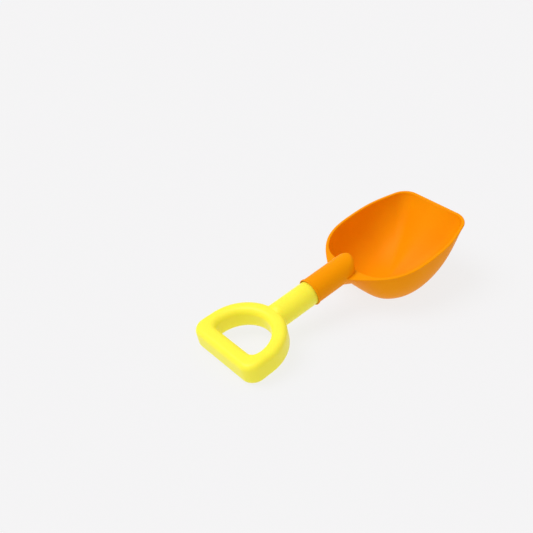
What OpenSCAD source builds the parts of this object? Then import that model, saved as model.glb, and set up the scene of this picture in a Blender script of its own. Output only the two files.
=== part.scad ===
// Child's sand scoop: a hollow D-grip handle, welded from two half shells, whose spigot
// plugs into the socket of a one-piece scoop moulding.
// Each piece is drawn along the socket's axis: x runs from the socket's mouth towards the
// scoop's front edge, y is sideways, and z is up out of the bowl. rest() then tips the whole
// scoop down until its hand bar and the bottom of its bowl stand on the floor.

/* [Grip] */
// Outside width of the D grip, along the hand bar
grip_w = 101; // [92:1:122]
// Outside length of the D grip, along the shaft
grip_len = 78.5; // [74:0.5:95]
// Height of the grip's section
grip_h = 26; // [20:0.5:31]
// Width of the hand bar's section
bar_w = 19; // [17:0.5:23]
// Width of the section round the curved arms
arm_w = 17; // [16:0.5:21]
// Outside corner radius at each end of the hand bar
grip_corner_r = 14.7; // [11:0.1:18]
// Corner radius of the hand hole at each end of the hand bar
hole_corner_r = 7.7; // [5:0.1:10]
// Rounding of the section's outer edges
grip_outer_edge_r = 6.5; // [4:0.1:8]
// Rounding of the section's inner edges
grip_inner_edge_r = 7.5; // [4:0.1:8]

/* [Shaft and plug] */
// Diameter of the handle's shaft
shaft_d = 28.2; // [24:0.1:29.2]
// Gap from the D grip to the socket's mouth
shaft_len = 46; // [38:1:60]
// How far the shaft sits below the socket's axis, resting in its mouth
shaft_drop = 0.4; // [0:0.1:0.6]
// Length of the plug behind the shaft's shoulder
plug_len = 43; // [30:1:45]
// Radial gap between the plug and the socket's bore
plug_gap = 0.06; // [0.02:0.01:0.1]
// Wall of the handle's half shells
shell_wall = 2; // [1.6:0.1:2.6]

/* [Locating pegs] */
// Diameter of the pegs that line up the half shells
peg_d = 3; // [2.4:0.1:3.4]
// Length of each peg below the joint
peg_len = 5; // [4:0.5:6]
// Diameter of the bosses that hold the pegs
boss_d = 6.4; // [5.8:0.1:7]
// Gap all round a peg in its hole
peg_gap = 0.1; // [0.05:0.05:0.2]

/* [Socket] */
// Outside diameter of the socket tube
socket_d = 30; // [29:0.5:34]
// Bore of the socket tube
socket_bore = 26; // [22:0.1:26.4]
// Diameter of the recess in the mouth that the shaft's end drops into
mouth_d = 29.8; // [29.6:0.1:31]
// Depth of that recess
mouth_depth = 3; // [2:0.5:5]
// Diameter of the bead round the mouth
bead_d = 31.8; // [31.4:0.1:34]
// Length of the bead round the mouth
bead_len = 2.5; // [2:0.1:4]
// Mouth to the centre of the socket's round end inside the bowl
socket_len = 48.5; // [46:0.5:56]

/* [Bowl] */
// Greatest width over the rim
bowl_w = 131.2; // [110:1:150]
// Mouth of the socket to the scoop's front edge
bowl_front = 204.2; // [180:1:230]
// Mouth of the socket to the bowl's rear wall
bowl_rear = 59; // [56:0.5:62]
// Mouth of the socket to the widest part of the rim
bowl_widest = 123.7; // [112:1:135]
// Width over the front corners
front_w = 110.2; // [96:1:124]
// Corner radius at the front
front_corner_r = 22.8; // [14:0.2:30]
// Depth inside the bowl, below the rim
bowl_depth = 56.4; // [45:0.1:75]
// Mouth of the socket to the deepest part
bowl_deepest = 113.6; // [105:0.1:130]
// Wall of the bowl
bowl_wall = 2; // [1.5:0.1:3]
// How far the rim's plane lies below the socket's axis
rim_drop = 2; // [0:0.5:4]

/* [Rim] */
// Width of the flat lip round the bowl
lip_w = 3.6; // [3:0.1:6]
// Thickness of the lip and of the flange behind the bowl
lip_t = 2; // [1.5:0.1:3]
// Mouth of the socket to the point where the flange meets the tube
flange_tip = 42.7; // [36:0.5:46]
// Angle of the flange's edge to the tube
flange_angle = 56.6; // [45:0.1:65]
// How far the flange's edge runs on before it bends towards the widest part
flange_run = 47.5; // [40:0.5:54]

/* [Hidden] */
$fn = 64;
overlap = 1;          // pieces of one moulding run into each other by this much

// --- Grip and shaft ---
grip_r = grip_w / 2;
hole_r = grip_r - arm_w;
grip_front = -shaft_len;
grip_centre = grip_front - grip_r;             // centre of the D's round front
bar_back = grip_front - grip_len;              // outer face of the hand bar
shaft_r = shaft_d / 2;
plug_r = socket_bore / 2 - plug_gap;
root_len = 4;                  // the shaft's root runs this far out of the grip
root_dip = 1.5;                // it ends this far under the grip's top
root_step = 0.3;               // and this far inside the shaft
peg_row = bar_back + bar_w / 2;
peg_arc_r = grip_r - arm_w / 2;
PEGS = [for (side = [-1, 1]) each [
            [peg_row, side * grip_w / 4, 0],
            [grip_centre + peg_arc_r * cos(42), side * peg_arc_r * sin(42), 0]],
        [grip_front / 2, 0, 0], [plug_len / 2, 0, 0]];

// --- Socket ---
socket_r = socket_d / 2;
bore_r = socket_bore / 2;
chin_r = socket_r - 0.5;       // the moulding swells under the socket's root
chin_drop = socket_r;
chin_run = bowl_rear + 10 - flange_tip;
chin_slope = atan(chin_drop / chin_run);
chin_reach = norm([chin_run, chin_drop]);
root_floor = socket_r + 5;     // how far down the round end reaches behind the bowl's wall

// --- Bowl profile: superellipse exponents, plan then depth, by direction ---
FRONT_CURVE = [1.7, 1.15];     // a long ramp up to the front edge
SIDE_CURVE = [3.05, 2.5];      // upright sides on a round bottom
REAR_CURVE = [2.55, 2.2];
OVAL_POWER = 2.45;             // the outline softens to this superellipse towards the bottom
OVAL_ONSET = 0.73;             // and the lower this power, the deeper down it starts
RING_ANGLES = [81, 72, 63, 54, 45, 36, 27, 18, 9];
rim_z = -rim_drop;
front_corner_y = front_w / 2 - front_corner_r;
front_corner_x = bowl_front - front_corner_r;
front_corner_a = 20;           // direction in which the sides run into the front corners

function bezier(a, b, c, d, t) =
    pow(1 - t, 3) * a + 3 * pow(1 - t, 2) * t * b + 3 * (1 - t) * t * t * c + pow(t, 3) * d;
function arc(centre, r, from, to, steps) =
    [for (i = [0:steps]) let (a = from + (to - from) * i / steps) centre + r * [cos(a), sin(a)]];
function mirrored(half) =
    concat(half, [for (i = [len(half) - 1:-1:0]) if (half[i].y > 0.001) [half[i].x, -half[i].y]]);
function unit(v) = v / norm(v);
function at_height(loop, z) = [for (p = loop) [p.x, p.y, z]];

// Moves each point of a closed outline sideways, outwards for a positive distance
function moved_out(loop, distance) = let (n = len(loop))
    [for (i = [0:n - 1])
        let (along = unit(loop[(i + 1) % n] - loop[(i + n - 1) % n]))
        loop[i] + distance * [-along.y, along.x]];

// --- Rim outlines: half outlines from the rear centre round the +y side to the front ---
edge_steps = 14;
join_step = 6;                 // the flange ends and the even lip begins here
edge_start = [flange_tip, sqrt(pow(socket_r, 2) - pow(rim_drop, 2)) - 0.1];
edge_lean = flange_run * [cos(flange_angle), sin(flange_angle)];
edge_wide = [bowl_widest, bowl_w / 2];
side_end = [front_corner_x, front_corner_y]
    + front_corner_r * [sin(front_corner_a), cos(front_corner_a)];
side_slope = [cos(front_corner_a), -sin(front_corner_a)];
rear_edge = [for (i = [0:edge_steps])
    bezier(edge_start, edge_start + edge_lean, edge_wide - [0.5 * (bowl_widest - flange_tip), 0],
           edge_wide, i / edge_steps)];
front_edge = [for (i = [1:7])
    bezier(edge_wide, edge_wide + [0.46 * (side_end.x - bowl_widest), 0],
           side_end - 0.38 * (side_end.x - bowl_widest) * side_slope, side_end, i / 7)];
front_corner = [for (i = [1:5]) let (a = (90 - front_corner_a) * (1 - i / 5))
    [front_corner_x, front_corner_y] + front_corner_r * [cos(a), sin(a)]];
front_line = [for (f = [2 / 3, 1 / 3, 0]) [bowl_front, f * front_corner_y]];
RIM = mirrored(concat([[flange_tip, 0]], rear_edge, front_edge, front_corner, front_line));
LIP_INSIDE = moved_out(RIM, -lip_w);

// The bowl's opening follows the lip, and closes straight across behind the flange
opening_join = LIP_INSIDE[join_step + 1];
opening_slope = unit(LIP_INSIDE[join_step + 2] - LIP_INSIDE[join_step]);
function rear_opening(t) =
    bezier([bowl_rear, 0], [bowl_rear, 0.62 * opening_join.y],
           opening_join - 0.22 * bowl_w / 2 * opening_slope, opening_join, t);
function opening_point(i) =
    i <= join_step ? rear_opening(i / (join_step + 1)) :
    i >= len(RIM) - join_step
        ? let (p = rear_opening((len(RIM) - i) / (join_step + 1))) [p.x, -p.y]
        : LIP_INSIDE[i];
OPENING = [for (i = [0:len(RIM) - 1]) opening_point(i)];
WALL_OUTSIDE = moved_out(OPENING, bowl_wall);

// --- Bowl surface ---
function curve_at(v) = let (c = v.x / norm(v), forward = pow(max(c, 0), 2), back = pow(min(c, 0), 2))
    forward * FRONT_CURVE + back * REAR_CURVE + (1 - forward - back) * SIDE_CURVE;
bowl_centre = [bowl_deepest, 0];
function ring(outline, depth, a) =
    let (front = max([for (p = outline) p.x]) - bowl_deepest,
         back = bowl_deepest - min([for (p = outline) p.x]),
         side = max([for (p = outline) p.y]))
    [for (p = outline)
        let (v = p - bowl_centre, k = curve_at(v), share = pow(sin(a), 2 / k.x),
             from_centre = [v.x / (v.x > 0 ? front : back), v.y / side],
             oval = pow(pow(abs(from_centre.x), OVAL_POWER) + pow(abs(from_centre.y), OVAL_POWER),
                        -1 / OVAL_POWER),
             pulled_in = (1 - min(oval, 1)) * (1 - pow(share, OVAL_ONSET)),
             q = bowl_centre + v * share * (1 - pulled_in))
        [q.x, q.y, rim_z - depth * pow(cos(a), 2 / k.y)]];
// Inside face from the opening down, then outside face from the bottom up
inside_rings = [for (a = RING_ANGLES) ring(OPENING, bowl_depth, a)];
outside_rings = [for (i = [len(RING_ANGLES) - 1:-1:0])
    ring(WALL_OUTSIDE, bowl_depth + bowl_wall, RING_ANGLES[i])];

// Side faces between rings of the same length, and a fan of faces at each end
function band(n, first, second) = [for (i = [0:n - 1]) let (j = (i + 1) % n) each
    [[first + i, first + j, second + j], [first + i, second + j, second + i]]];
function fan(n, first, tip) = [for (i = [0:n - 1]) [first + i, first + (i + 1) % n, tip]];

module bowl_shell() {
    n = len(RIM);
    down = concat([at_height(RIM, rim_z), at_height(OPENING, rim_z)], inside_rings);
    up = concat(outside_rings, [at_height(WALL_OUTSIDE, rim_z - lip_t), at_height(RIM, rim_z - lip_t)]);
    rows_down = len(down);
    rows = rows_down + len(up);
    inner_bottom = rows * n;
    points = concat([for (r = down) each r], [for (r = up) each r],
        [[bowl_centre.x, 0, rim_z - bowl_depth], [bowl_centre.x, 0, rim_z - bowl_depth - bowl_wall]]);
    faces = concat(
        [for (r = [0:rows_down - 2]) each band(n, r * n, (r + 1) * n)],
        fan(n, (rows_down - 1) * n, inner_bottom),
        [for (i = [0:n - 1]) [rows_down * n + (i + 1) % n, rows_down * n + i, inner_bottom + 1]],
        [for (r = [rows_down:rows - 2]) each band(n, r * n, (r + 1) * n)],
        band(n, (rows - 1) * n, 0));
    polyhedron(points, faces, convexity = 8);
}

module along_x(r, from, to) translate([from, 0, 0]) rotate([0, 90, 0]) cylinder(r = r, h = to - from);

// The socket's end inside the bowl is round in plan, with the tube's own rounded top
module socket_end() intersection() {
    translate([socket_len, 0, -root_floor]) cylinder(r = socket_r, h = root_floor + socket_d);
    union() {
        along_x(socket_r, 0, socket_len + socket_d);
        translate([bowl_rear, -socket_r, -root_floor]) cube([socket_r, socket_d, root_floor]);
    }
}

// The swelling under the flange where the socket runs down into the rear wall. It is cut off
// along the slope of that wall, so that it ends inside the wall's thickness.
wall_top = [bowl_rear - bowl_wall, rim_z];
wall_low = [inside_rings[2][0].x - bowl_wall, inside_rings[2][0].z];
wall_lean = atan((wall_low.x - wall_top.x) / (wall_top.y - wall_low.y));
module chin() difference() {
    translate([flange_tip, 0, 0]) rotate([0, 90 + chin_slope, 0]) {
        cylinder(r = chin_r, h = chin_reach);
        translate([0, 0, chin_reach]) sphere(r = chin_r);
    }
    translate([wall_top.x + bowl_wall / 2, -socket_d, wall_top.y]) rotate([0, -wall_lean, 0])
        translate([0, 0, -3 * socket_d]) cube([3 * socket_d, 2 * socket_d, 6 * socket_d]);
    translate([0, -socket_d, rim_z - lip_t / 2]) cube([bowl_front, 2 * socket_d, socket_d]);
}

module scoop() color("darkorange") rest() difference() {
    union() {
        bowl_shell();
        along_x(socket_r, 0, socket_len);
        along_x(bead_d / 2, 0, bead_len);
        socket_end();
        chin();
    }
    along_x(mouth_d / 2, -overlap, mouth_depth);
    along_x(bore_r, -overlap, socket_len);
    intersection() {
        translate([socket_len, 0, -socket_d]) cylinder(r = bore_r, h = 2 * socket_d);
        along_x(bore_r, socket_len - overlap, socket_len + socket_d);
    }
}

// --- Handle: drawn with the joint between its half shells at z = 0 ---
function grip_outline(round_r, back, corner_r) =
    mirrored(concat(arc([grip_centre, 0], round_r, 0, 90, 10),
                    arc([back + corner_r, round_r - corner_r], corner_r, 90, 180, 5),
                    [[back, 0]]));
GRIP_OUTER = grip_outline(grip_r, bar_back, grip_corner_r);
GRIP_INNER = grip_outline(hole_r, bar_back + bar_w, hole_corner_r);

// Half of the grip's section: across the section, then up from the joint
function half_section(width, wall) =
    let (top = grip_h / 2, outer_r = grip_outer_edge_r, inner_r = grip_inner_edge_r)
    concat([[wall, 0]],
           arc([outer_r, top - outer_r], outer_r - wall, 180, 90, 4),
           arc([width - inner_r, top - inner_r], inner_r - wall, 90, 0, 4),
           [[width - wall, 0]]);
function placed(section, from, to) = [for (s = section)
    let (p = from + s.x * unit(to - from)) [p.x, p.y, s.y]];
function swept(wall, lining) = [for (i = [0:len(GRIP_OUTER) - 1])
    let (width = norm(GRIP_INNER[i] - GRIP_OUTER[i]),
         inside = half_section(width, lining),
         outline = concat(half_section(width, wall),
                          lining > 0 ? [for (k = [len(inside) - 1:-1:0]) inside[k]] : []))
    placed(outline, GRIP_OUTER[i], GRIP_INNER[i])];
module hoop(loops) {
    n = len(loops[0]);
    rows = len(loops);
    polyhedron([for (l = loops) each l],
        [for (r = [0:rows - 1]) each band(n, r * n, ((r + 1) % rows) * n)], convexity = 8);
}

module half_space() translate([bar_back - overlap, -grip_w, 0])
    cube([grip_len + shaft_len + bowl_front, 2 * grip_w, grip_w]);

// The shaft's root is a twelve-sided cone that narrows into the grip, so that the shaft runs
// out on the grip's top and bottom
module shaft_root() translate([grip_front - arm_w / 2, 0, 0]) rotate([0, 90, 0]) rotate([0, 0, 15])
    cylinder(r1 = grip_h / 2 - root_dip, r2 = shaft_r - root_step, h = arm_w / 2 + root_len, $fn = 12);

// Shaft and plug as one hollow half bar, open at the joint
module half_shaft(half) intersection() {
    difference() {
        union() {
            shaft_root();
            along_x(shaft_r, grip_front + root_len / 2, mouth_depth);
            translate([0, 0, shaft_drop]) along_x(plug_r, 0, mouth_depth + plug_len);
        }
        along_x(shaft_r - shell_wall, grip_front + shell_wall, mouth_depth - shell_wall);
        translate([0, 0, shaft_drop])
            along_x(plug_r - shell_wall, 0, mouth_depth + plug_len - shell_wall);
    }
    mirror([0, 0, half]) half_space();
}

// Each boss reaches halfway into the wall that it stands on
module bosses(half) for (p = PEGS)
    let (outside = p.x > 0 ? plug_r : abs(p.y) > 0 ? grip_h / 2 : shaft_r)
    translate(p) mirror([0, 0, half]) cylinder(d = boss_d, h = outside - shell_wall / 2);

module handle_half(half) {
    mirror([0, 0, half]) hoop(swept(0, shell_wall));
    difference() {
        half_shaft(half);
        mirror([0, 0, half]) hoop(swept(shell_wall, 0));
    }
}

module handle_upper_shell() color("yellow") rest() translate([0, 0, -shaft_drop]) {
    handle_half(0);
    bosses(0);
    for (p = PEGS) translate(p - [0, 0, peg_len]) cylinder(d = peg_d, h = peg_len + overlap);
}

module handle_lower_shell() color("yellow") rest() translate([0, 0, -shaft_drop]) difference() {
    union() {
        handle_half(1);
        bosses(1);
    }
    for (p = PEGS) translate(p - [0, 0, peg_len + peg_gap])
        cylinder(d = peg_d + 2 * peg_gap, h = peg_len + peg_gap + overlap);
}

// --- Resting place: the floor line under the hand bar's edge and the bowl's outside ---
edge_rise = grip_h / 2 - grip_outer_edge_r;
bar_edge = [bar_back + grip_outer_edge_r, -shaft_drop - edge_rise];
bar_top_edge = [bar_back + grip_outer_edge_r, -shaft_drop + edge_rise];
KEEL = concat([for (r = outside_rings) each [for (p = r) if (abs(p.y) < 0.01) [p.x, p.z]]],
              [[bowl_centre.x, rim_z - bowl_depth - bowl_wall]]);
rest_angle = min([for (k = KEEL) let (v = k - bar_edge)
    atan2(v.y, v.x) + asin(grip_outer_edge_r / norm(v))]);
function turned_x(p) = p.x * cos(rest_angle) + p.y * sin(rest_angle);
function turned_z(p) = p.y * cos(rest_angle) - p.x * sin(rest_angle);
floor_z = turned_z(bar_edge) - grip_outer_edge_r;
low_x = turned_x(bar_top_edge) - grip_outer_edge_r;
high_x = turned_x([bowl_front, rim_z - lip_t]);
module rest() translate([-(low_x + high_x) / 2, 0, -floor_z]) rotate([0, rest_angle, 0]) children();

scoop();
handle_upper_shell();
handle_lower_shell();
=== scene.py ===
"""Child's sand scoop: an orange one-piece scoop with a yellow D-grip handle plugged into it."""
import math

import bpy
import numpy as np
from mathutils import Matrix, Vector


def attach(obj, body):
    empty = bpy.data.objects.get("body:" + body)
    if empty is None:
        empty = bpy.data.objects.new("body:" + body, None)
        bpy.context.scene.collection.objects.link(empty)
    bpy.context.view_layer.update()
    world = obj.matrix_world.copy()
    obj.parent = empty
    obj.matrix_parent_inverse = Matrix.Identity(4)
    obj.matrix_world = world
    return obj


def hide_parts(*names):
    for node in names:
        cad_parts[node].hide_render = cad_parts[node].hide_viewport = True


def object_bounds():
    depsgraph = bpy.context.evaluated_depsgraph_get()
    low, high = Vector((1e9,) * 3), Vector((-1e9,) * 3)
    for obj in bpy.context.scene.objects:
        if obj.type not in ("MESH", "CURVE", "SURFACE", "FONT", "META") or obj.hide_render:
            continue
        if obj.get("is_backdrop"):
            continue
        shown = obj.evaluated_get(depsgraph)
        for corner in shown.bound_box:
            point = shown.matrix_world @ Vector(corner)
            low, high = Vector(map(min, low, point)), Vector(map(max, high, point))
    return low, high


bl_info = {
    "name": "Sand scoop",
    "version": (1, 0, 0),
    "blender": (4, 5, 0),
    "location": "3D View > Sidebar > Sand scoop",
    "description": "Builds a child's sand scoop over its CAD frame, with its stage",
    "category": "Object",
}

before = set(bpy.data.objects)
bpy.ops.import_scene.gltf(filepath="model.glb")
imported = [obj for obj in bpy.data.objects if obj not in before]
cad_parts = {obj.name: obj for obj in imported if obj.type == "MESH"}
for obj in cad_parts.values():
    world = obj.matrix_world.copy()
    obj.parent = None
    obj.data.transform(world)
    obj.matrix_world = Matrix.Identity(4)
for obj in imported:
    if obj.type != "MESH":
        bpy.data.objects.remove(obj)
CAD_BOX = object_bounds()
MM = 0.001

# The pieces are drawn in millimetres along the socket's axis: x runs from the socket's mouth
# to the bowl, y is sideways and z is up out of the bowl. REST then lays them on the floor.
REST_ANGLE = math.radians(-11.9509)
REST_SHIFT = np.array([-38.6984, 0.0, 37.6852])


# --- Sizes and colours -------------------------------------------------------------------
def length(name, description, default):
    return bpy.props.FloatProperty(
        name=name, description=description, default=default * MM, min=0.0, unit="LENGTH", precision=4
    )


class ScoopSizes(bpy.types.PropertyGroup):
    bowl_width: length("Bowl width", "Greatest width over the rim", 131.2)
    bowl_front: length("Front edge", "Socket's mouth to the front edge", 204.2)
    bowl_rear: length("Rear wall", "Socket's mouth to the bowl's rear wall", 59.0)
    bowl_widest: length("Widest place", "Socket's mouth to the widest part of the rim", 123.7)
    bowl_deepest: length("Deepest place", "Socket's mouth to the deepest part", 113.6)
    bowl_depth: length("Depth", "Depth inside the bowl, below the rim", 56.4)
    bowl_wall: length("Wall", "Wall of the bowl", 2.0)
    front_width: length("Front width", "Width over the front corners", 110.2)
    front_corner: length("Front corner", "Corner radius at the front", 22.8)
    rim_drop: length("Rim drop", "How far the rim lies below the socket's axis", 2.0)
    lip_width: length("Lip width", "Width of the flat lip round the bowl", 3.6)
    lip_thickness: length("Lip thickness", "Thickness of the lip and flange", 2.0)
    lip_edge: length("Lip edge", "Rounding of the lip's inner edge", 0.9)
    flange_tip: length("Flange tip", "Socket's mouth to the flange's tip", 42.7)
    flange_run: length("Flange run", "How far the flange's edge runs on before it bends", 47.5)
    flange_angle: bpy.props.FloatProperty(
        name="Flange angle", description="Angle of the flange's edge to the socket",
        default=math.radians(56.6), subtype="ANGLE",
    )


class SocketSizes(bpy.types.PropertyGroup):
    outside: length("Outside", "Outside diameter of the socket", 30.0)
    bore: length("Bore", "Bore of the socket", 26.0)
    mouth: length("Mouth", "Diameter of the recess in the mouth", 29.8)
    mouth_depth: length("Mouth depth", "Depth of that recess", 3.0)
    bead: length("Bead", "Diameter of the bead round the mouth", 31.8)
    bead_length: length("Bead length", "Length of that bead", 2.5)
    bead_edge: length("Bead edge", "Rounding of the bead's edges", 0.7)
    reach: length("Reach", "Mouth to the centre of the round end", 48.5)
    end_edge: length("End edge", "Rounding of the top edge of the round end", 3.5)


class HandleSizes(bpy.types.PropertyGroup):
    grip_width: length("Grip width", "Outside width of the D grip", 101.0)
    grip_length: length("Grip length", "Outside length of the D grip", 78.5)
    grip_height: length("Grip height", "Height of the grip's section", 26.0)
    bar_width: length("Bar width", "Width of the hand bar's section", 19.0)
    arm_width: length("Arm width", "Width of the section round the arms", 17.0)
    corner: length("Corner", "Outside corner radius by the hand bar", 14.7)
    hole_corner: length("Hole corner", "Corner radius of the hand hole", 7.7)
    outer_edge: length("Outer edge", "Rounding of the section's outer edges", 6.5)
    inner_edge: length("Inner edge", "Rounding of the section's inner edges", 7.5)
    shaft: length("Shaft", "Diameter of the shaft", 28.2)
    shaft_length: length("Shaft length", "Gap from the grip to the socket's mouth", 46.0)
    shaft_drop: length("Shaft drop", "How far the shaft sits below the socket's axis", 0.4)
    plug_length: length("Plug length", "Length of the plug past the recess", 43.0)
    plug_gap: length("Plug gap", "Radial gap between plug and bore", 0.06)
    wall: length("Wall", "Wall of the half shells", 2.0)
    root_fillet: length("Root fillet", "Fillet between shaft and grip", 5.0)


def colour(name, description, hexadecimal):
    return bpy.props.FloatVectorProperty(
        name=name, description=description, default=linear(hexadecimal), size=3,
        subtype="COLOR", min=0.0, max=1.0,
    )


def linear(hexadecimal):
    """An sRGB hex value as a linear colour."""
    parts = [int(hexadecimal[i:i + 2], 16) / 255 for i in (0, 2, 4)]
    return tuple(p / 12.92 if p <= 0.04045 else ((p + 0.055) / 1.055) ** 2.4 for p in parts)


class Finishes(bpy.types.PropertyGroup):
    orange: colour("Orange", "The scoop's moulded polypropylene", "F69E00")
    orange_deep: colour("Orange, deep", "Where the orange pigment is a little denser", "F39500")
    yellow: colour("Yellow", "The handle's moulded polypropylene", "FFF94C")
    yellow_deep: colour("Yellow, deep", "Where the yellow pigment is a little denser", "FEF540")
    floor: colour("Floor", "The studio floor's own light", "F4F4F4")


def sizes(context, name):
    """A property group's lengths in millimetres, and its angle in radians, by name."""
    group = getattr(context.scene, name)
    found = {}
    for key in group.__annotations__:
        value = getattr(group, key)
        found[key] = value if key.endswith("angle") else value / MM
    return found


# --- Outlines ------------------------------------------------------------------------------
SUNK = 0.1            # the flange's edge starts this far inside the socket's surface
CORNER_LEAN = 20      # degrees at which the sides run into the front corners
JOIN = 6 / 14         # share of the rear edge after which the even lip begins


def at_rest(points):
    """Points drawn along the socket, in millimetres, as metres in the part's frame."""
    p = np.asarray(points, float)
    c, s = math.cos(REST_ANGLE), math.sin(REST_ANGLE)
    turned = np.column_stack([p[:, 0] * c + p[:, 2] * s, p[:, 1], p[:, 2] * c - p[:, 0] * s])
    return (turned + REST_SHIFT) * MM


def bezier(a, b, c, d, t):
    a, b, c, d = (np.asarray(v, float) for v in (a, b, c, d))
    t = np.asarray(t, float)[:, None]
    return (1 - t) ** 3 * a + 3 * (1 - t) ** 2 * t * b + 3 * (1 - t) * t * t * c + t ** 3 * d


def arc(centre, radius, start, end, steps):
    a = np.radians(np.linspace(start, end, steps + 1))
    return np.asarray(centre, float) + radius * np.column_stack([np.cos(a), np.sin(a)])


def mirrored(half):
    """A half outline on the +y side, closed by its mirror image."""
    other = half[::-1] * [1, -1]
    return np.concatenate([half, other[np.abs(other[:, 1]) > 0.001]])


def moved_out(loop, distance):
    along = np.roll(loop, -1, 0) - np.roll(loop, 1, 0)
    along /= np.linalg.norm(along, axis=1)[:, None]
    return loop + distance * np.column_stack([-along[:, 1], along[:, 0]])


def rim_and_opening(s, k):
    """The outside of the lip and flange, and the bowl's opening, point for point."""
    tip, half_width = s["flange_tip"], s["bowl_width"] / 2
    start = np.array([tip, math.sqrt((k["outside"] / 2) ** 2 - s["rim_drop"] ** 2) - SUNK])
    lean = s["flange_run"] * np.array([math.cos(s["flange_angle"]), math.sin(s["flange_angle"])])
    wide = np.array([s["bowl_widest"], half_width])
    corner_r, corner_a = s["front_corner"], math.radians(CORNER_LEAN)
    corner = np.array([s["bowl_front"] - corner_r, s["front_width"] / 2 - corner_r])
    side_end = corner + corner_r * np.array([math.sin(corner_a), math.cos(corner_a)])
    slope = np.array([math.cos(corner_a), -math.sin(corner_a)])
    run = side_end[0] - wide[0]

    def rear_edge(t):
        return bezier(start, start + lean, wide - [0.5 * (wide[0] - tip), 0], wide, t)

    def closed(first, second):
        front = bezier(wide, wide + [0.46 * run, 0], side_end - 0.38 * run * slope, side_end,
                       np.linspace(0, 1, 37)[1:])
        bend = arc(corner, corner_r, 90 - CORNER_LEAN, 0, 18)[1:]
        line = np.array([[s["bowl_front"], f * corner[1]] for f in np.linspace(1, 0, 15)[1:]])
        return mirrored(np.concatenate([first, second, front, bend, line]))

    flange = np.concatenate([
        np.column_stack([np.full(6, tip), np.linspace(0, start[1], 7)[:6]]),
        rear_edge(np.linspace(0, JOIN, 37)[:36]),
    ])
    even = rear_edge(np.linspace(JOIN, 1, 37))
    rim = closed(flange, even)
    inside = moved_out(rim, -s["lip_width"])
    first = len(flange)
    joint = inside[first]
    into = inside[first + 1] - inside[first - 1]
    into /= np.linalg.norm(into)
    u = (np.concatenate([np.arange(6) / 6, 1 + 6 * np.arange(36) / 36])) / 7
    rear = bezier([s["bowl_rear"], 0], [s["bowl_rear"], 0.62 * joint[1]],
                  joint - 0.22 * half_width * into, joint, u)
    opening = inside.copy()
    opening[:first] = rear
    back = rear[1:][::-1] * [1, -1]
    opening[len(opening) - len(back):] = back
    return rim, opening


# --- Bowl ----------------------------------------------------------------------------------
# Superellipse exponents, plan then depth, by direction from the bowl's centre
FRONT_CURVE = (1.7, 1.15)
SIDE_CURVE = (3.05, 2.5)
REAR_CURVE = (2.55, 2.2)
OVAL_POWER = 2.45
OVAL_ONSET = 0.73
LIP_FILLET = 0.5      # fillet under the lip, against the wall
STEP_DOWN = 0.2       # first row of the wall, below the edge or fillet


def bowl_rows(outline, deepest, depth, rim_z, first_drop, rows):
    """Rows of points from first_drop under the rim down to just short of the deepest point."""
    centre = np.array([deepest, 0.0])
    v = outline - centre
    cosine = v[:, 0] / np.linalg.norm(v, axis=1)
    forward, back = np.maximum(cosine, 0) ** 2, np.minimum(cosine, 0) ** 2
    side = 1 - forward - back
    plan, fall = (forward * FRONT_CURVE[i] + back * REAR_CURVE[i] + side * SIDE_CURVE[i] for i in (0, 1))
    reach = np.where(v[:, 0] > 0, v[:, 0].max(), -v[:, 0].min())
    oval = (np.abs(v[:, 0] / reach) ** OVAL_POWER
            + np.abs(v[:, 1] / outline[:, 1].max()) ** OVAL_POWER) ** (-1 / OVAL_POWER)
    excess = 0.5 * ((1 - oval) + np.sqrt((1 - oval) ** 2 + 0.02 ** 2)) - 0.002
    start = np.arccos((first_drop / depth) ** (fall / 2))
    found = []
    for t in np.arange(rows) / rows:
        a = start * (1 - t ** 1.4)
        share = np.sin(a) ** (2 / plan)
        pulled_in = np.clip(excess, 0, 1) * (1 - share ** OVAL_ONSET)
        q = centre + v * (share * (1 - pulled_in))[:, None]
        found.append(np.column_stack([q, rim_z - depth * np.cos(a) ** (2 / fall)]))
    return found


def level(loop, z):
    return np.column_stack([loop, np.full(len(loop), z)])


def loft(name, rows, first_tip, last_tip):
    """A closed mesh through rows of points of one length, with a point at each end."""
    n, count = len(rows[0]), len(rows)
    points = np.concatenate([*rows, [first_tip, last_tip]])
    i = np.arange(n)
    j = (i + 1) % n
    faces = [
        quad for r in range(count - 1)
        for quad in np.column_stack([r * n + i, r * n + j, (r + 1) * n + j, (r + 1) * n + i]).tolist()
    ]
    faces += np.column_stack([j, i, np.full(n, count * n)]).tolist()
    last = (count - 1) * n
    faces += np.column_stack([last + i, last + j, np.full(n, count * n + 1)]).tolist()
    return solid(name, points, faces)


def solid(name, points, faces):
    mesh = bpy.data.meshes.new(name)
    mesh.from_pydata(at_rest(points).tolist(), [], faces)
    mesh.validate()
    obj = bpy.data.objects.new(name, mesh)
    bpy.context.scene.collection.objects.link(obj)
    return outward(obj)


def outward(obj):
    """The closed mesh's faces turned to look outwards."""
    mesh = obj.data
    mesh.calc_loop_triangles()
    co = np.array([v.co for v in mesh.vertices])
    tri = np.array([t.vertices for t in mesh.loop_triangles])
    a, b, c = co[tri[:, 0]], co[tri[:, 1]], co[tri[:, 2]]
    if np.einsum("ij,ij->i", a, np.cross(b, c)).sum() < 0:
        mesh.flip_normals()
    return obj


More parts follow.
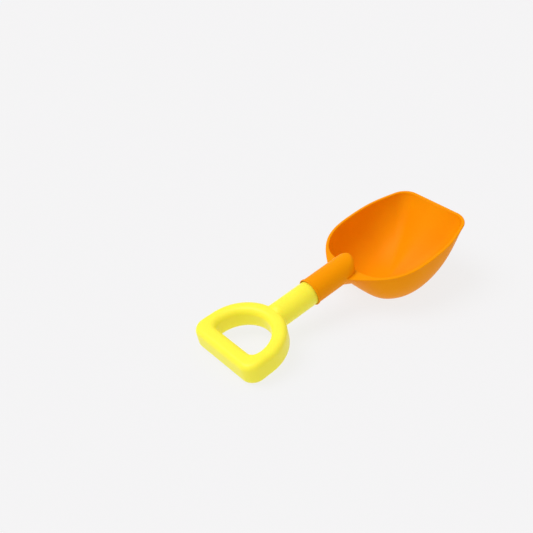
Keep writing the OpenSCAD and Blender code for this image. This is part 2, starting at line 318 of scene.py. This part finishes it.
def bowl_with_lip(s, k):
    rim, opening = rim_and_opening(s, k)
    wall = moved_out(opening, s["bowl_wall"])
    rim_z, t = -s["rim_drop"], s["lip_thickness"]
    out = rim - opening
    out /= np.linalg.norm(out, axis=1)[:, None]
    edge, bead, fillet = s["lip_edge"], t / 2, LIP_FILLET
    inside = bowl_rows(opening, s["bowl_deepest"], s["bowl_depth"], rim_z,
                       edge + STEP_DOWN, 56)
    rows = inside[::-1]
    for a in np.radians(np.linspace(0, 90, 6)):
        inward, down = edge * (1 - math.cos(a)), edge * (1 - math.sin(a))
        rows.append(level(opening + out * inward, rim_z - down))
    middle = (opening + out * edge + rim - out * bead) / 2
    rows.append(level(middle, rim_z))
    for a in np.radians(np.linspace(90, -90, 11)):
        inward, down = bead * (1 - math.cos(a)), bead * (1 - math.sin(a))
        rows.append(level(rim - out * inward, rim_z - down))
    for a in np.radians(np.linspace(0, 90, 4)):
        outward_by, down = fillet * (1 - math.sin(a)), fillet * (1 - math.cos(a))
        rows.append(level(wall + out * outward_by, rim_z - t - down))
    rows += bowl_rows(wall, s["bowl_deepest"], s["bowl_depth"] + s["bowl_wall"], rim_z,
                      t + fillet + STEP_DOWN, 56)
    bottom = rim_z - s["bowl_depth"]
    return loft("bowl", rows, [s["bowl_deepest"], 0, bottom],
                [s["bowl_deepest"], 0, bottom - s["bowl_wall"]])


def bowl_core(s, k):
    """The bowl's space out to the middle of its wall, used to trim what runs into it."""
    _, opening = rim_and_opening(s, k)
    middle = moved_out(opening, s["bowl_wall"] / 2)
    rim_z = -s["rim_drop"]
    rows = [level(middle, 1.0)]
    rows += bowl_rows(middle, s["bowl_deepest"], s["bowl_depth"] + s["bowl_wall"] / 2, rim_z, 1.0, 40)
    return loft("core", rows, [s["bowl_deepest"], 0, 1.0],
                [s["bowl_deepest"], 0, rim_z - s["bowl_depth"] - s["bowl_wall"] / 2])


# --- Turned and round solids -----------------------------------------------------------------
def turned(name, profile, lift=0.0, sides=128):
    """A solid of revolution about the socket's axis, from (x, radius) pairs; its ends are points."""
    a = np.radians((np.arange(sides) + 0.5) * 360 / sides)
    rows = [
        np.column_stack([np.full(sides, x), r * np.cos(a), r * np.sin(a) + lift]) for x, r in profile
    ]
    return loft(name, rows, [profile[0][0], 0, lift], [profile[-1][0], 0, lift])


def rounded(x, r, edge, start, end, steps=6):
    """A quarter round of a turned profile, as (x, radius) pairs about the given centre."""
    turns = np.radians(np.linspace(start, end, steps + 1))
    return [(x + edge * math.cos(a), r + edge * math.sin(a)) for a in turns]


def box(name, low, high):
    (x0, y0, z0), (x1, y1, z1) = low, high
    points = [(x, y, z) for x in (x0, x1) for y in (y0, y1) for z in (z0, z1)]
    faces = [(0, 1, 3, 2), (4, 6, 7, 5), (0, 4, 5, 1), (2, 3, 7, 6), (0, 2, 6, 4), (1, 5, 7, 3)]
    return solid(name, points, faces)


def combined(first, operation, *others):
    """The first solid after a boolean with each of the others, which are used up."""
    for other in others:
        modifier = first.modifiers.new("cut", "BOOLEAN")
        modifier.operation, modifier.solver, modifier.object = operation, "MANIFOLD", other
        depsgraph = bpy.context.evaluated_depsgraph_get()
        mesh = bpy.data.meshes.new_from_object(first.evaluated_get(depsgraph))
        first.modifiers.clear()
        old, first.data = first.data, mesh
        bpy.data.meshes.remove(old)
        used = other.data
        bpy.data.objects.remove(other)
        bpy.data.meshes.remove(used)
        if not mesh.polygons:
            raise RuntimeError(f"nothing is left of {first.name} after a boolean")
    return first


def finished(obj, name, body, material, nodes):
    """The finished piece: smooth, named, riding on its body, in place of its CAD nodes."""
    obj.name = obj.data.name = name
    mesh = obj.data
    mesh.shade_smooth()
    mesh.set_sharp_from_angle(angle=math.radians(38))
    mesh.materials.clear()
    mesh.materials.append(material)
    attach(obj, body)
    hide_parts(*nodes)
    return obj


# --- Socket -----------------------------------------------------------------------------------
COLUMN_FOOT = -34.0   # the round end's foot, below the bowl's bottom wall behind it
NEAR = 0.999          # shares that keep nested surfaces from lying in one another
NEARER = 0.9995


def socket_tube(k):
    r, e, b = k["outside"] / 2, k["bead_edge"], k["bead"] / 2
    profile = [(0.0, b - e - 0.3), *rounded(e, b - e, e, 180, 90),
               *rounded(k["bead_length"] - e, b - e, e, 90, 0)]
    profile += [(k["bead_length"], r + 0.15), (k["bead_length"] + 0.15, r), (k["reach"], r)]
    return turned("tube", profile)


def socket_round_end(k, s):
    """The socket's end inside the bowl: round in plan, with the tube's top and a rounded edge."""
    r, edge, sides = k["outside"] / 2, k["end_edge"], 128
    a = np.radians((np.arange(sides) + 0.5) * 360 / sides)
    spread = [r * f for f in np.linspace(0.06, 1 - edge / r, 16)]
    spread += [r - edge * (1 - math.sin(b)) for b in np.radians(np.linspace(0, 90, 14))[1:]]
    rows = []
    for reach in spread:
        y = reach * np.sin(a)
        inset = edge - (r - reach)
        fall = edge - math.sqrt(max(edge * edge - inset * inset, 0)) if inset > 0 else 0.0
        top = np.sqrt(np.maximum((NEAR * r) ** 2 - y * y, 0)) - fall
        rows.append(np.column_stack([k["reach"] + reach * np.cos(a), y, top]))
    rows.append(np.column_stack([k["reach"] + r * np.cos(a), r * np.sin(a), np.full(sides, COLUMN_FOOT)]))
    column = loft("column", rows, [k["reach"], 0, NEAR * r],
                  [k["reach"], 0, COLUMN_FOOT])
    tube = turned("inner tube", [(1.0, NEARER * r), (k["reach"] + 2 * r, NEARER * r)])
    return combined(column, "INTERSECT", combined(tube, "UNION", bowl_core(s, k)))


def chin(k, s):
    """The swelling under the flange, where the socket runs down into the bowl's rear wall."""
    r = k["outside"] / 2 - 0.5
    run, drop = s["bowl_rear"] + 10 - s["flange_tip"], k["outside"] / 2
    slope, reach = math.atan2(drop, run), math.hypot(run, drop)
    profile = [(0.0, r), (reach, r), *rounded(reach, 0.0, r, 90, 2, 24)[1:]]
    sides = 128
    a = np.radians((np.arange(sides) + 0.5) * 360 / sides)
    c, n = math.cos(slope), math.sin(slope)

    def placed(x, radius):
        z = radius * np.sin(a)
        return np.column_stack([s["flange_tip"] + x * c - z * n, radius * np.cos(a), -x * n - z * c])

    rows = [placed(x, radius) for x, radius in profile]
    swelling = loft("chin", rows, [s["flange_tip"], 0, 0],
                    [s["flange_tip"] + (reach + r) * c, 0, -(reach + r) * n])
    above = box("above", (0, -40, -s["rim_drop"] - s["lip_thickness"] / 2), (120, 40, 60))
    return combined(swelling, "DIFFERENCE", bowl_core(s, k), above)


def socket_bore(k):
    r, m = k["bore"] / 2, k["mouth"] / 2
    return turned("bore", [(-5.0, m), (k["mouth_depth"], m), (k["mouth_depth"], r), (k["reach"], r),
                           *rounded(k["reach"], 0.0, r, 90, 3, 16)[1:]])


class SCOOP_OT_moulding(bpy.types.Operator):
    """Makes the one-piece scoop: bowl, lip, flange and socket"""
    bl_idname = "scoop.moulding"
    bl_label = "Scoop moulding"

    def execute(self, context):
        s, k = sizes(context, "scoop_sizes"), sizes(context, "socket_sizes")
        moulding = combined(bowl_with_lip(s, k), "UNION", socket_tube(k), socket_round_end(k, s), chin(k, s))
        combined(moulding, "DIFFERENCE", socket_bore(k))
        finished(moulding, "scoop_moulding", "scoop_body",
                 moulded_orange(context.scene.finishes), ["scoop"])
        return {"FINISHED"}


# --- Handle -----------------------------------------------------------------------------------
def grip_outline(h, round_r, back, corner_r):
    centre_x = -h["shaft_length"] - h["grip_width"] / 2
    half = np.concatenate([
        arc([centre_x, 0], round_r, 0, 90, 60),
        arc([back + corner_r, round_r - corner_r], corner_r, 90, 180, 20),
        np.column_stack([np.full(8, back), np.linspace(round_r - corner_r, 0, 9)[1:]]),
    ])
    return mirrored(half)


def half_section(h, width, wall):
    """Half of the grip's section, across it and then up from the joint."""
    top, outer, inner = h["grip_height"] / 2, h["outer_edge"], h["inner_edge"]
    return np.concatenate([
        [[wall, 0]], arc([outer, top - outer], outer - wall, 180, 90, 12),
        arc([width - inner, top - inner], inner - wall, 90, 0, 12), [[width - wall, 0]],
    ])


def hoop(name, h, wall, side):
    """Half of the D grip as a closed ring, above the joint for side 1 and below it for side -1."""
    back = -h["shaft_length"] - h["grip_length"]
    half_width = h["grip_width"] / 2
    outer = grip_outline(h, half_width, back, h["corner"])
    inner = grip_outline(h, half_width - h["arm_width"], back + h["bar_width"], h["hole_corner"])
    points, n = [], None
    for p, q in zip(outer, inner):
        width = np.linalg.norm(q - p)
        section = half_section(h, width, wall)
        n = len(section)
        along = (q - p) / width
        points.append(np.column_stack([p + section[:, :1] * along, side * section[:, 1]]))
    count = len(points)
    faces = []
    for r in range(count):
        here, there = r * n, (r + 1) % count * n
        faces += [(here + i, here + (i + 1) % n, there + (i + 1) % n, there + i) for i in range(n)]
    lifted = np.concatenate(points) - [0, 0, h["shaft_drop"]]
    return solid(name, lifted, faces)


PLUG_EDGE = 1.2       # rounding of the plug's end
ROOT_SET_BACK = 1.6   # the root's fillet ends this far inside the grip's front
ROOT_TAIL = 4.0       # plain stretch of the root, hidden inside the grip
ROOT_DIP = 1.5        # the root's tail ends this far under the grip's top
SHAFT_EDGE = 0.5      # rounding of the shaft's end in the socket's mouth


def shaft(h, k, wall):
    """The shaft, its flared root and its plug as one solid, or what is hollow inside them."""
    r = h["shaft"] / 2 - wall
    plug_r = k["bore"] / 2 - h["plug_gap"] - wall
    drop, shoulder = h["shaft_drop"], k["mouth_depth"] - wall
    plug_end = shoulder + h["plug_length"] - PLUG_EDGE
    plug = turned("plug", [(0.0, plug_r), (plug_end, plug_r),
                           *rounded(plug_end, plug_r - PLUG_EDGE, PLUG_EDGE, 90, 0)])
    grip_front = -h["shaft_length"]
    if wall:
        bar = turned("hollow", [(grip_front + wall, r), (shoulder, r)], -drop)
        return combined(bar, "UNION", plug)
    fillet, sides = h["root_fillet"], 128
    a = np.radians((np.arange(sides) + 0.5) * 360 / sides)
    start = grip_front + ROOT_SET_BACK
    stations = [(start - fillet - ROOT_TAIL, r + fillet - 1.0)]
    stations += [
        (start - fillet * math.sin(b), r + fillet * (1 - math.cos(b)))
        for b in np.radians(np.linspace(90, 0, 16))
    ]
    rows = []
    for x, spread in stations:
        t = min(max((start - x) / (fillet + ROOT_TAIL + 2.0), 0.0), 1.0)
        rise = r - (r - h["grip_height"] / 2 + ROOT_DIP) * t * t * (3 - 2 * t)
        rows.append(np.column_stack([np.full(sides, x), spread * np.cos(a), rise * np.sin(a) - drop]))
    end = [(shoulder - SHAFT_EDGE, r), (shoulder - 0.2, r - 0.15), (shoulder, r - SHAFT_EDGE)]
    for x, radius in [(grip_front / 2, r), *end]:
        rows.append(np.column_stack([np.full(sides, x), radius * np.cos(a), radius * np.sin(a) - drop]))
    bar = loft("shaft", rows, [rows[0][0, 0], 0, -drop], [shoulder, 0, -drop])
    return combined(bar, "UNION", plug)


def half_handle(h, k, side):
    """One half shell of the handle: its hollow half of the grip, shaft and plug."""
    joint, beyond = -h["shaft_drop"], side * 60
    low = (-200, -80, min(joint, beyond))
    high = (80, 80, max(joint, beyond))
    shell = combined(shaft(h, k, 0.0), "INTERSECT", box("half", low, high))
    shell = combined(shell, "UNION", hoop("grip", h, 0.0, side))
    space = combined(shaft(h, k, h["wall"]), "UNION", hoop("grip space", h, h["wall"], side))
    return combined(shell, "DIFFERENCE", space)


class SCOOP_OT_handle(bpy.types.Operator):
    """Makes the two half shells of the D-grip handle"""
    bl_idname = "scoop.handle"
    bl_label = "D-grip handle"

    def execute(self, context):
        h, k = sizes(context, "handle_sizes"), sizes(context, "socket_sizes")
        material = moulded_yellow(context.scene.finishes)
        for side, name in ((1, "upper"), (-1, "lower")):
            finished(half_handle(h, k, side), f"handle_{name}_half", "handle",
                     material, [f"handle_{name}_shell"])
        return {"FINISHED"}


# --- Materials --------------------------------------------------------------------------------
def add_node(tree, kind, settings=None, **links):
    """Adds a node; settings are attributes or input values, and links go to inputs by name."""
    node = tree.nodes.new(kind)
    for key, value in (settings or {}).items():
        if isinstance(key, str) and hasattr(node, key):
            setattr(node, key, value)
        else:
            node.inputs[key].default_value = value
    for key, output in links.items():
        tree.links.new(output, node.inputs[key.replace("_", " ")])
    return node


def moulded(name, pale, deep, roughness, sheen, subsurface):
    material = bpy.data.materials.new(name)
    material.use_nodes = True
    tree = material.node_tree
    tree.nodes.clear()
    place = add_node(tree, "ShaderNodeTexCoord").outputs["Object"]
    # pigment: slow clouds about 30 mm across, where the melt flowed
    cloud = add_node(tree, "ShaderNodeTexNoise", {"Scale": 33.0, "Detail": 2.0, "Roughness": 0.5},
                     Vector=place)
    mix = add_node(tree, "ShaderNodeMix", {"data_type": "RGBA", 6: (*pale, 1), 7: (*deep, 1)})
    tree.links.new(cloud.outputs["Fac"], mix.inputs[0])
    # mould texture: a spark-eroded grain 0.4 mm across, and slow waves of shrinkage 25 mm long
    grain = add_node(tree, "ShaderNodeTexNoise", {"Scale": 2500.0, "Detail": 2.0, "Roughness": 0.6},
                     Vector=place)
    sink = add_node(tree, "ShaderNodeTexNoise", {"Scale": 40.0, "Detail": 1.0}, Vector=place)
    waves = add_node(tree, "ShaderNodeBump", {"Strength": 0.25, "Distance": 0.0006},
                     Height=sink.outputs["Fac"])
    bump = add_node(tree, "ShaderNodeBump", {"Strength": 0.25, "Distance": 0.00005},
                    Height=grain.outputs["Fac"], Normal=waves.outputs["Normal"])
    worn = add_node(tree, "ShaderNodeMapRange", {"To Min": roughness - 0.04, "To Max": roughness + 0.05},
                    Value=cloud.outputs["Fac"])
    shader = add_node(tree, "ShaderNodeBsdfPrincipled",
                      {"IOR": 1.49, "Specular IOR Level": sheen,
                       "Subsurface Weight": subsurface, "Subsurface Scale": 0.004,
                       "Subsurface Radius": (1.0, 0.35, 0.1)},
                      Base_Color=mix.outputs[2], Roughness=worn.outputs["Result"],
                      Normal=bump.outputs["Normal"])
    add_node(tree, "ShaderNodeOutputMaterial", Surface=shader.outputs["BSDF"])
    return material


def moulded_orange(finishes):
    # Injection-moulded polypropylene: an almost matt satin, a little redder where the walls
    # light each other
    return moulded("moulded_polypropylene_orange", finishes.orange, finishes.orange_deep,
                   roughness=0.42, sheen=0.05, subsurface=0.04)


def moulded_yellow(finishes):
    # The same plastic from a better polished mould: tighter highlights
    return moulded("moulded_polypropylene_yellow", finishes.yellow, finishes.yellow_deep,
                   roughness=0.34, sheen=0.25, subsurface=0.1)


def painted_floor(finishes):
    # Matt white board lit from behind: no gloss, and bright enough that only close contact
    # leaves a shadow. It is a trace bluer than grey, which evens out the warm studio light.
    material = bpy.data.materials.new("matt_painted_floor")
    material.use_nodes = True
    tree = material.node_tree
    tree.nodes.clear()
    board = add_node(tree, "ShaderNodeBsdfDiffuse",
                     {"Color": (0.10, 0.102, 0.12, 1), "Roughness": 0.0})
    glow = add_node(tree, "ShaderNodeEmission", {"Color": (*finishes.floor, 1), "Strength": 0.885})
    both = add_node(tree, "ShaderNodeAddShader")
    tree.links.new(board.outputs["BSDF"], both.inputs[0])
    tree.links.new(glow.outputs["Emission"], both.inputs[1])
    add_node(tree, "ShaderNodeOutputMaterial", Surface=both.outputs["Shader"])
    return material


# --- Stage ------------------------------------------------------------------------------------
CAMERA_PLACE = Vector((-0.546916, -0.566545, 0.563427))
CAMERA_RIGHT = Vector((0.776893, -0.629443, -0.015445))
CAMERA_FORWARD = Vector((0.522227, 0.657876, -0.542658))


class SCOOP_OT_stage(bpy.types.Operator):
    """Makes the floor, the studio light and the camera"""
    bl_idname = "scoop.stage"
    bl_label = "Stage"

    def execute(self, context):
        scene = context.scene
        half = 8.0
        corners = [(-half, -half, 0), (half, -half, 0), (half, half, 0), (-half, half, 0)]
        mesh = bpy.data.meshes.new("floor")
        mesh.from_pydata(corners, [], [(0, 1, 2, 3)])
        mesh.materials.append(painted_floor(scene.finishes))
        floor = bpy.data.objects.new("floor", mesh)
        floor.location.z = min(CAD_BOX[0].z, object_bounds()[0].z) - 0.0001
        scene.collection.objects.link(floor)
        floor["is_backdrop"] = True

        world = bpy.data.worlds.new("studio")
        world.use_nodes = True
        background = world.node_tree.nodes["Background"]
        background.inputs["Color"].default_value = (1.0, 0.89, 0.74, 1)
        background.inputs["Strength"].default_value = 0.66
        scene.world = world

        key = bpy.data.lights.new("key", "SUN")
        key.energy, key.angle = 1.6, math.radians(40)
        lamp = bpy.data.objects.new("key", key)
        lamp.rotation_euler = Vector((-0.45, 0.35, 1.0)).to_track_quat("Z", "Y").to_euler()
        scene.collection.objects.link(lamp)

        data = bpy.data.cameras.new("camera")
        data.sensor_width, data.lens = 36.0, 57.3786
        data.clip_start, data.clip_end = 0.01, 50.0
        camera = bpy.data.objects.new("camera", data)
        up = CAMERA_RIGHT.cross(CAMERA_FORWARD)
        turn = Matrix((CAMERA_RIGHT, up, -CAMERA_FORWARD)).transposed()
        camera.matrix_world = Matrix.Translation(CAMERA_PLACE) @ turn.to_4x4()
        scene.collection.objects.link(camera)
        scene.camera = camera
        scene.view_settings.view_transform = "Standard"
        return {"FINISHED"}


class SCOOP_PT_panel(bpy.types.Panel):
    bl_label = "Sand scoop"
    bl_idname = "SCOOP_PT_panel"
    bl_space_type = "VIEW_3D"
    bl_region_type = "UI"
    bl_category = "Sand scoop"

    def draw(self, context):
        for operator in OPERATORS:
            self.layout.operator(operator.bl_idname)
        for name in GROUPS:
            column = self.layout.box().column()
            group = getattr(context.scene, name)
            for key in group.__annotations__:
                column.prop(group, key)


OPERATORS = (SCOOP_OT_moulding, SCOOP_OT_handle, SCOOP_OT_stage)
GROUPS = {
    "scoop_sizes": ScoopSizes,
    "socket_sizes": SocketSizes,
    "handle_sizes": HandleSizes,
    "finishes": Finishes,
}


def register():
    for cls in (*GROUPS.values(), *OPERATORS, SCOOP_PT_panel):
        bpy.utils.register_class(cls)
    for name, group in GROUPS.items():
        setattr(bpy.types.Scene, name, bpy.props.PointerProperty(type=group))


def unregister():
    for name in GROUPS:
        delattr(bpy.types.Scene, name)
    for cls in (SCOOP_PT_panel, *reversed(OPERATORS), *reversed(tuple(GROUPS.values()))):
        bpy.utils.unregister_class(cls)


def main():
    register()
    bpy.ops.scoop.moulding()
    bpy.ops.scoop.handle()
    bpy.ops.scoop.stage()


if __name__ == "__main__":
    main()
